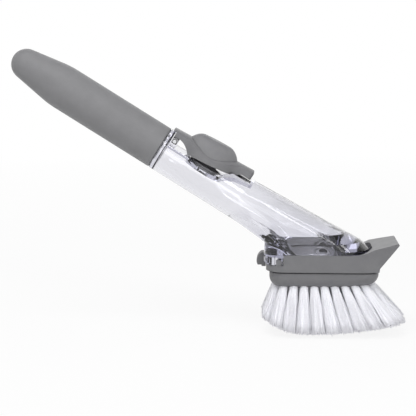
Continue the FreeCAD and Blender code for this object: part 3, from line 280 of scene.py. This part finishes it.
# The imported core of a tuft: its share of the radius, its ripples, and where it starts and stops.
CORE_SHARE, CORE_COLUMNS, CORE_ROWS = 0.85, 36, 7
CORE_START, CORE_STOP = -0.14, 0.965
RIPPLES, RIPPLE_DEPTH = (5, 8, 13), 0.02


def ring_places(margin, count, half_turn):
    """Even places along a rounded ring inside the block: straight sides and quarter-circle corners, by
    arc length, starting at the heel end of the near side."""
    heel, front, side = margin - BLOCK_HEEL, BLOCK_FRONT - margin, BLOCK_HALF - margin
    corner = min(side, RING_CORNER)
    turn = np.radians(np.arange(0, 91))
    path = [np.array([[heel + corner, -side]])]
    for x, y, start in ((front, -side, 270), (front, side, 0), (heel, side, 90), (heel, -side, 180)):
        middle = np.array([x - math.copysign(corner, x), y - math.copysign(corner, y)])
        angle = turn + math.radians(start)
        path.append(middle + corner * np.stack([np.cos(angle), np.sin(angle)], axis=1))
    path = np.concatenate(path)
    run = np.concatenate([[0], np.cumsum(np.hypot(*np.diff(path, axis=0).T))])
    at = (np.arange(count) + half_turn) * run[-1] / count
    return np.stack([np.interp(at, run, path[:, 0]), np.interp(at, run, path[:, 1])], axis=1)


def trim_height(x, y):
    """Height of the trimmed tips over the floor: zero under the upright tufts, rising as a square
    towards the heel, more slowly towards the toe, and a little towards the sides."""
    toe_rise, toe_run = 7.0, 62
    heel_rise, heel_run = 9.0, 27
    side_rise, side_run = 2.2, 28
    ahead = x - UPRIGHT_AT
    lengthwise = np.where(ahead > 0, toe_rise * (ahead / toe_run) ** 2, heel_rise * (ahead / heel_run) ** 2)
    return lengthwise + side_rise * (y / side_run) ** 2


def bristles(name, node, places, upright, seed):
    """Tufts of separate strands round a packed core. Each strand starts in its hole on a sunflower
    spiral, a power of its number times the golden angle, and runs along its tuft's lean while its
    distance from the tuft's axis grows towards the tip; its length ends it on the trim height, and it
    sways a little. The core is the tuft's flared tube, a share of its radius, with ripples round it, and
    it stops short of the tips."""
    rng = np.random.default_rng(seed)
    tufts = len(places)
    x, y = places[:, 0], places[:, 1]
    ahead = x - UPRIGHT_AT
    lean_x = np.where(ahead > 0, LEAN_TOE * ahead / (BLOCK_FRONT - UPRIGHT_AT),
                      LEAN_HEEL * ahead / (BLOCK_HEEL + UPRIGHT_AT))
    lean_y = LEAN_SIDE * y / LEAN_SIDE_AT
    if upright:
        lean_x, lean_y = 0 * x, 0 * y
    way = np.stack([np.tan(np.radians(lean_x)), np.tan(np.radians(lean_y)), -np.ones(tufts)], axis=1)
    way /= np.linalg.norm(way, axis=1, keepdims=True)
    across = np.cross(way, SIDEWAYS)
    across /= np.linalg.norm(across, axis=1, keepdims=True)
    beside = np.cross(way, across)
    mouth = np.stack([x, y, np.full(tufts, BLOCK_BOTTOM)], axis=1)[:, None]

    def lines(angle, root_out, tip_out, along):
        """Points along lines down each tuft: the line's angle round the axis, its distance from the axis
        at the hole and at the tip, and how far along it each point is; and the flare at each point. A
        few steps find the length at which the tip meets the trim height."""
        out = around(angle, across[:, None], beside[:, None])
        length = np.full(angle.shape, BLOCK_BOTTOM)
        for _ in range(4):
            tip = mouth + way[:, None] * length[..., None] + out * tip_out[..., None]
            length += (tip[..., 2] - trim_height(tip[..., 0], tip[..., 1])) / -way[:, None, 2]
        length += rng.uniform(*LENGTH_STRAY, angle.shape)
        flare = np.clip(along, 0, 1) ** FLARE_POWER
        radial = root_out[..., None] + (tip_out - root_out)[..., None] * flare
        points = (mouth[:, :, None] + way[:, None, None] * (length[..., None] * along)[..., None]
                  + out[:, :, None] * radial[..., None])
        return points, flare

    number = np.arange(STRANDS)
    spread = ((number + 0.5) / STRANDS) ** SPIRAL_POWER
    angle = number * math.pi * (3 - math.sqrt(5)) + rng.uniform(0, 2 * math.pi, (tufts, 1))
    root_out = TUFT_ROOT * spread * np.ones((tufts, 1))
    tip_out = TUFT_TIP * spread * rng.uniform(*TIP_STRAY, (tufts, STRANDS))
    centre, flare = lines(angle, root_out, tip_out, STRAND_STATIONS)
    sway = rng.normal(0, SWAY, (tufts, STRANDS, 3))
    centre += sway[:, :, None] * (flare ** 2)[None, None, :, None]
    centre[..., 2] = np.maximum(centre[..., 2], STRAND / 2)
    turn = np.arange(STRAND_SIDES) * 2 * math.pi / STRAND_SIDES
    ring = around(turn, across[:, None], beside[:, None]) * STRAND / 2
    strand_points = (centre[:, :, :, None] + ring[:, None, None]).reshape(-1, 3)
    strand_faces = tube_faces(tufts * STRANDS, len(STRAND_STATIONS), STRAND_SIDES)

    angle = np.arange(CORE_COLUMNS) * 2 * math.pi / CORE_COLUMNS * np.ones((tufts, 1))
    waves = sum(np.cos(k * angle + rng.uniform(0, 2 * math.pi, (tufts, 1))) for k in RIPPLES)
    core_out = CORE_SHARE * (1 + waves * RIPPLE_DEPTH)
    stations = np.linspace(CORE_START, CORE_STOP, CORE_ROWS)
    core, _ = lines(angle, TUFT_ROOT * core_out, TUFT_TIP * core_out, stations)
    core_points = core.transpose(0, 2, 1, 3).reshape(-1, 3)
    core_faces = [[corner + len(strand_points) for corner in face]
                  for face in tube_faces(tufts, CORE_ROWS, CORE_COLUMNS)]

    points = np.concatenate([strand_points, core_points]) * MM
    piece = add_piece(name, points, strand_faces + core_faces, nylon)
    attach(piece, "head")
    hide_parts(node)


OUTER_MARGIN, MIDDLE_MARGIN, ROW_PITCH = 5.0, 11.6, 7.9
row_places = np.stack([(np.arange(5) - 2) * ROW_PITCH, np.zeros(5)], axis=1)
bristles("bristles_outer", "tufts_outer", ring_places(OUTER_MARGIN, 26, 0.5), False, 1)
bristles("bristles_middle", "tufts_middle", ring_places(MIDDLE_MARGIN, 16, 0.0), False, 2)
bristles("bristles_centre", "tufts_centre", row_places, True, 3)

# The wand's own ways: up the handle, out of its back and across that, and the middle of its shoulder.
WAND = np.array([-0.848048, 0.0, 0.529919])
WAND_TOP = np.array([0.529919, 0.0, 0.848048])
WAND_ACROSS = np.cross(SIDEWAYS, WAND_TOP)
SHOULDER = np.array([-104.310, 0.0, 117.680])

# The screw between neck and handle: two starts with a lead of 8 mm a turn, so the ridges of the one run
# between the ridges of the other while the handle turns and lifts.
LEAD, STARTS = 8.0, 2
RIDGE_STEPS, RIDGE_HALF, RIDGE_TAPER = 96, 0.8, 0.4
RUN_OUT_TURNS = 1 / 6


def thread(name, body, material, base, crest, low, high, shift):
    """A ridge of four corners carried along a helix: the angle round the wand's axis grows evenly with
    the distance up it, and the ridge grows out of the wall at each end. Base and crest are radii, low
    and high its ends above the shoulder, and shift moves it up the axis."""
    turns = (high - low) / LEAD
    along = np.linspace(0, 1, RIDGE_STEPS)
    grown = np.clip(np.minimum(along, 1 - along) * turns / RUN_OUT_TURNS, 0.02, 1)
    foot = np.full(RIDGE_STEPS, base), np.full(RIDGE_STEPS, RIDGE_HALF)
    top = base + (crest - base) * grown, RIDGE_HALF - RIDGE_TAPER * grown
    (outer, outer_half), (inner, inner_half) = (top, foot) if crest > base else (foot, top)
    radius = np.stack([outer, outer, inner, inner], axis=1)
    half = np.stack([outer_half, -outer_half, -inner_half, inner_half], axis=1)
    height = low + shift + (high - low) * along[:, None] + half
    angle = 2 * math.pi * (turns * along + np.arange(STARTS)[:, None] / STARTS)
    out = around(angle, WAND_TOP, SIDEWAYS)[:, :, None]
    points = SHOULDER + WAND * height[..., None] + radius[..., None] * out
    piece = add_piece(name, points.reshape(-1, 3) * MM, tube_faces(STARTS, RIDGE_STEPS, 4), material)
    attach(piece, body)


thread("neck_thread", "chamber", clear_san,
       base=10.55, crest=11.1, low=5.0, high=15.5, shift=0.0)
thread("socket_thread", "grip", core_pp,
       base=11.35, crest=10.8, low=5.0, high=13.0, shift=LEAD / STARTS / 2)

# The pump under the button: the seat of the bulb on the recess floor, the bulb, the ribs on its skin,
# and the ring that clamps its flange.
BULB_SEAT = np.array([-78.291, 0.0, 105.726])
BULB_RADIUS, BULB_HEIGHT, BULB_WALL = 9.4, 5.6, 1.0
BULB_FLANGE, FLANGE_HEIGHT = 11.2, 1.2
BULB_RIBS, RIB_DEPTH, RIB_START, RIB_RUN = 45, 0.3, 3.5, 3
RIB_IN, RIB_DOWN = 0.6, 0.8
RING_LOW, RING_HIGH, RING_CHAMFER, RING_GAP = 1.25, 2.65, 0.15, 0.3
KNURLS, KNURL_DEPTH = 50, 0.4
WAVE_STEPS = 6


def cap_profile(radius, low, high, steps):
    """Radius and height along a spherical cap, from near its top to its rim: the height falls from its
    top as the sagitta of the cap's sphere."""
    sphere = (radius ** 2 + (high - low) ** 2) / (2 * (high - low))
    r = np.linspace(0, radius, steps + 1)[1:]
    return r, high - sphere + np.sqrt(sphere ** 2 - r ** 2)


def fluting(count):
    """Angles of a full turn, a few for each flute, and how deep each lies in its flute: zero on the
    ridges and one in the hollows, as a cosine of the angle."""
    angle = np.arange(count * WAVE_STEPS) * 2 * math.pi / (count * WAVE_STEPS)
    return angle, 0.5 - 0.5 * np.cos(count * angle)


def pump_bulb():
    """A shell of revolution: its profile runs from the crown over the rim and the flange, and back up
    inside, and fine ribs round the crown's outer half are a cosine of the angle, cut into the skin."""
    side = BULB_HEIGHT / 3
    outer_r, outer_h = cap_profile(BULB_RADIUS, side, BULB_HEIGHT, 16)
    inner_r, inner_h = cap_profile(BULB_RADIUS - BULB_WALL, side, BULB_HEIGHT - BULB_WALL, 10)
    rim_r = [BULB_RADIUS, BULB_FLANGE, BULB_FLANGE, BULB_RADIUS - BULB_WALL]
    rim_h = [FLANGE_HEIGHT, FLANGE_HEIGHT, 0.0, 0.0]
    radius = np.concatenate([outer_r, rim_r, inner_r[::-1]])
    height = np.concatenate([outer_h, rim_h, inner_h[::-1]])
    skin = len(outer_r) + 1
    ribbed = np.zeros(len(radius))
    ribbed[:skin] = RIB_DEPTH * np.clip((radius[:skin] - RIB_START) / RIB_RUN, 0, 1)
    angle, hollow = fluting(BULB_RIBS)
    cut = ribbed[:, None] * hollow
    points = (BULB_SEAT + (radius[:, None] - RIB_IN * cut)[..., None] * around(angle, WAND_ACROSS, SIDEWAYS)
              + (height[:, None] - RIB_DOWN * cut)[..., None] * WAND_TOP).reshape(-1, 3)
    top, under = len(points), len(points) + 1
    points = np.concatenate([points, [BULB_SEAT + BULB_HEIGHT * WAND_TOP,
                                      BULB_SEAT + (BULB_HEIGHT - BULB_WALL) * WAND_TOP]])
    columns = len(angle)
    row = np.arange(len(radius) - 1)[:, None] * columns
    here = np.arange(columns)
    after = (here + 1) % columns
    walls = np.stack([row + here, row + columns + here,
                      row + columns + after, row + after], axis=-1).reshape(-1, 4)
    last = (len(radius) - 1) * columns
    crown = np.stack([np.full(columns, top), here, after], axis=1)
    ceiling = np.stack([last + here, np.full(columns, under), last + after], axis=1)
    faces = walls.tolist() + crown.tolist() + ceiling.tolist()
    piece = add_piece("pump_bulb", points * MM, faces, bulb_silicone)
    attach(piece, "chamber")
    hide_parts("pump_dome")
    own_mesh(piece)


def clamp_ring():
    """A ring of chamfered section carried round the bulb, with a knurl for the fingers that screw it
    down: its outer corners move in as a cosine of the angle."""
    inner, outer = BULB_RADIUS + RING_GAP, BULB_FLANGE
    inner_edge, outer_edge = inner + RING_CHAMFER, outer - RING_CHAMFER
    low_edge, high_edge = RING_LOW + RING_CHAMFER, RING_HIGH - RING_CHAMFER
    radius = np.array([inner_edge, outer_edge, outer, outer, outer_edge, inner_edge, inner, inner])
    height = np.array([RING_HIGH, RING_HIGH, high_edge, low_edge, RING_LOW, RING_LOW, low_edge, high_edge])
    knurled = np.array([0, 1, 1, 1, 1, 0, 0, 0]) * KNURL_DEPTH
    angle, hollow = fluting(KNURLS)
    radius = radius[:, None] - knurled[:, None] * hollow
    points = (BULB_SEAT + radius[..., None] * around(angle, WAND_ACROSS, SIDEWAYS)
              + height[:, None, None] * WAND_TOP).reshape(-1, 3)
    corners, columns = radius.shape
    row = np.arange(corners)[:, None]
    here = np.arange(columns)
    below, after = (row + 1) % corners * columns, (here + 1) % columns
    faces = np.stack([row * columns + here, below + here, below + after, row * columns + after], axis=-1)
    piece = add_piece("clamp_ring", points * MM, faces.reshape(-1, 4).tolist(), ring_acetal)
    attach(piece, "chamber")
    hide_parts("dome_ring")


pump_bulb()
clamp_ring()


def looked_at(tree):
    """One for a ray from the eye, off gloss or through clear plastic, and zero for other rays."""
    seen = put(tree, "ShaderNodeLightPath")
    glossy = put(tree, "ShaderNodeMath", {0: (seen, "Is Camera Ray"), 1: (seen, "Is Glossy Ray")},
                 operation="MAXIMUM")
    return put(tree, "ShaderNodeMath", {0: (glossy, "Value"), 1: (seen, "Is Transmission Ray")},
               operation="MAXIMUM")


# Floor and backdrop read white to the eye, to gloss and through the clear plastic, while the floor still
# takes the brush's shadow near it.
FLOOR_HALF, FLOOR_DROP = 6.0, 0.0005
floor_paint, tree, shader, place = new_material(
    "studio_floor", {"Base Color": linear("ececec"), "Roughness": 0.9})
away = put(tree, "ShaderNodeVectorMath", {0: (place, "Object")}, operation="LENGTH")
whiter = put(tree, "ShaderNodeMapRange", {
    "Value": (away, "Value"), "From Min": 0.25, "From Max": 1.2, "To Min": 0.88, "To Max": 1.0})
share = put(tree, "ShaderNodeMath", {0: (looked_at(tree), "Value"), 1: (whiter, "Result")},
            operation="MULTIPLY")
white = put(tree, "ShaderNodeEmission", {"Color": linear("ffffff"), "Strength": 1.0})
shown = put(tree, "ShaderNodeMixShader", {
    0: (share, "Value"), 1: (shader, "BSDF"), 2: (white, "Emission")})
tree.links.new(shown.outputs["Shader"], tree.nodes["Material Output"].inputs["Surface"])
floor_corners = np.array([[-1, -1, 0], [1, -1, 0], [1, 1, 0], [-1, 1, 0]]) * FLOOR_HALF
floor = add_piece("floor", floor_corners - [0, 0, FLOOR_DROP], [[0, 1, 2, 3]], floor_paint)

# Over the backdrop the studio's ceiling is dim, so the clear walls have something to refract at their
# edges.
world = bpy.data.worlds.new("studio")
bpy.context.scene.world = world
world.use_nodes = True
tree = world.node_tree
ambient = tree.nodes["Background"]
ambient.inputs["Color"].default_value = (1, 1, 1, 1)
ambient.inputs["Strength"].default_value = 0.43
ray_way = put(tree, "ShaderNodeTexCoord")
height = put(tree, "ShaderNodeSeparateXYZ", {"Vector": (ray_way, "Generated")})
ceiling = put(tree, "ShaderNodeMapRange", {
    "Value": (height, "Z"), "From Min": 0.4, "From Max": 0.7, "To Min": 1.0, "To Max": 0.36},
    interpolation_type="SMOOTHSTEP")
backdrop = put(tree, "ShaderNodeBackground", {
    "Color": linear("ffffff"), "Strength": (ceiling, "Result")})
sky = put(tree, "ShaderNodeMixShader", {
    0: (looked_at(tree), "Value"), 1: (ambient, "Background"), 2: (backdrop, "Background")})
tree.links.new(sky.outputs["Shader"], tree.nodes["World Output"].inputs["Surface"])


def softbox(name, place, target, long_way, length, width, watts):
    """A rectangular studio lamp that faces a target point, with its length along a given way."""
    lamp = bpy.data.lights.new(name, "AREA")
    lamp.shape = "RECTANGLE"
    lamp.size, lamp.size_y = length, width
    lamp.energy = watts
    holder = bpy.data.objects.new(name, lamp)
    back = (Vector(place) - Vector(target)).normalized()
    along = (long_way - long_way.dot(back) * back).normalized()
    turn = Matrix((along, back.cross(along), back)).transposed().to_4x4()
    holder.matrix_world = Matrix.Translation(Vector(place)) @ turn
    bpy.context.scene.collection.objects.link(holder)


WAND_MIDDLE = (-0.06, 0, 0.08)
LEVEL = Vector((1, 0, 0))
softbox("key_softbox", (-0.25, -0.45, 1.05), WAND_MIDDLE, LEVEL, length=0.7, width=0.5, watts=6.1)
softbox("fill_softbox", (0.0, -0.95, 0.14), (0.0, 0, 0.03), LEVEL, length=0.9, width=0.22, watts=1.0)
softbox("back_softbox", (-0.25, 0.85, 0.6), WAND_MIDDLE, LEVEL, length=0.8, width=0.4, watts=1.5)
# The strip lies along the wand and draws the long highlight on the clear tube.
softbox("strip_softbox", (0.34, -0.675, 0.55), (-0.03, 0, 0.08), Vector(WAND),
        length=0.5, width=0.2, watts=1.8)

# Camera, fitted to points of the photograph's outline: its place, its turns in radians and its focal
# length in pixels of the photograph.
PHOTO_PIXELS = 416
CAMERA_PLACE = Vector((-0.0293, -0.7438, 0.1865))
YAW, PITCH, ROLL, FOCAL = -0.0625, 0.1422, -0.0028, 1145.9
camera_data = bpy.data.cameras.new("camera")
camera = bpy.data.objects.new("camera", camera_data)
bpy.context.scene.collection.objects.link(camera)
bpy.context.scene.camera = camera
forward = Vector((math.sin(YAW) * math.cos(PITCH), math.cos(YAW) * math.cos(PITCH), -math.sin(PITCH)))
turn = forward.to_track_quat("-Z", "Y").to_matrix().to_4x4()
camera.matrix_world = Matrix.Translation(CAMERA_PLACE) @ turn @ Matrix.Rotation(ROLL, 4, "Z")
camera_data.lens = camera_data.sensor_width * FOCAL / PHOTO_PIXELS
camera_data.clip_start = 0.01
bpy.context.scene.view_settings.view_transform = "Standard"
